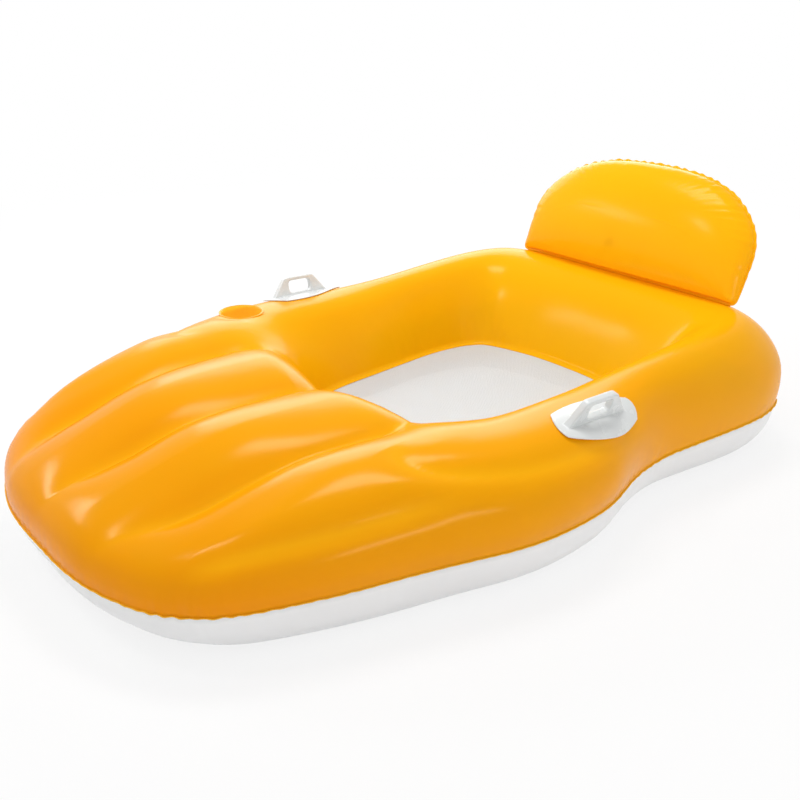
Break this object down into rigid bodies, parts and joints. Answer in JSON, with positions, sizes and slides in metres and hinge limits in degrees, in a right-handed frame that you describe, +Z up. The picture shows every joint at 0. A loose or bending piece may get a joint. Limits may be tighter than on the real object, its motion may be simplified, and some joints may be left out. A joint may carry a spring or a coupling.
{
  "type": "inflatable pool lounger",
  "caption": "Boat-shaped inflatable lounger with a lobed nose deck, net seat, tilting air backrest, grab handles and a cup well.",
  "frame": {"origin": "on the floor under the middle of the float's bounding box", "axes": "+Z up, +Y from the nose towards the backrest, +X towards the sitter's left, the side without the cup well"},
  "size_m": [1.0674, 1.5937, 0.5327],
  "materials": {
    "orange_vinyl": "glossy translucent orange vinyl sheet",
    "white_vinyl": "satin white vinyl sheet",
    "white_plastic": "glossy white moulded plastic",
    "net": "white knitted net",
    "valve_vinyl": "soft white moulded vinyl"
  },
  "bodies": {
    "float": {"top_skin": "orange_vinyl", "bottom_skin": "white_vinyl", "web_center": "orange_vinyl", "web_right": "orange_vinyl", "web_left": "orange_vinyl", "web_arm_right": "orange_vinyl", "web_arm_left": "orange_vinyl", "web_side_right": "orange_vinyl", "web_side_left": "orange_vinyl", "seat_net": "net", "seat_border": "net", "cup_wall": "orange_vinyl", "cup_floor": "orange_vinyl", "backrest_hinge_strip": "orange_vinyl", "handle_right": "white_plastic", "handle_left": "white_plastic", "main_valve_flange": "valve_vinyl"},
    "backrest": {"backrest_front_skin": "orange_vinyl", "backrest_rear_skin": "orange_vinyl", "backrest_valve_flange": "valve_vinyl"},
    "main_stem": {"main_valve_stem": "valve_vinyl"},
    "main_flap": {"main_valve_flap": "valve_vinyl"},
    "main_plug": {"main_valve_plug": "valve_vinyl"},
    "backrest_stem": {"backrest_valve_stem": "valve_vinyl"},
    "backrest_flap": {"backrest_valve_flap": "valve_vinyl"},
    "backrest_plug": {"backrest_valve_plug": "valve_vinyl"}
  },
  "joints": [
    {"name": "backrest_tilt", "type": "hinge", "parent": "float", "child": "backrest", "pos_m": [0, 0.655, 0.2875], "axis": [1, 0, 0], "range_deg": [-10, 20], "stiffness_Nm_per_rad": 5},
    {"name": "main_stem_push", "type": "slide", "parent": "float", "child": "main_stem", "axis": [0.9142, -0.2336, -0.3312], "range_m": [0, 0.0075]},
    {"name": "main_flap_open", "type": "hinge", "parent": "main_stem", "child": "main_flap", "pos_m": [-0.44765, 0.60135, 0.19708], "axis": [-0.1604, -0.959, 0.2336], "range_deg": [0, 45]},
    {"name": "main_plug_pull", "type": "slide", "parent": "main_stem", "child": "main_plug", "axis": [-0.9142, 0.2336, 0.3312], "range_m": [0, 0.01]},
    {"name": "backrest_stem_push", "type": "slide", "parent": "backrest", "child": "backrest_stem", "axis": [0, -0.7526, 0.6585], "range_m": [0, 0.0075]},
    {"name": "backrest_flap_open", "type": "hinge", "parent": "backrest_stem", "child": "backrest_flap", "pos_m": [-0.09687, 0.7218, 0.33627], "axis": [0, 0.6585, 0.7526], "range_deg": [0, 45]},
    {"name": "backrest_plug_pull", "type": "slide", "parent": "backrest_stem", "child": "backrest_plug", "axis": [0, 0.7526, -0.6585], "range_m": [0, 0.01]}
  ]
}
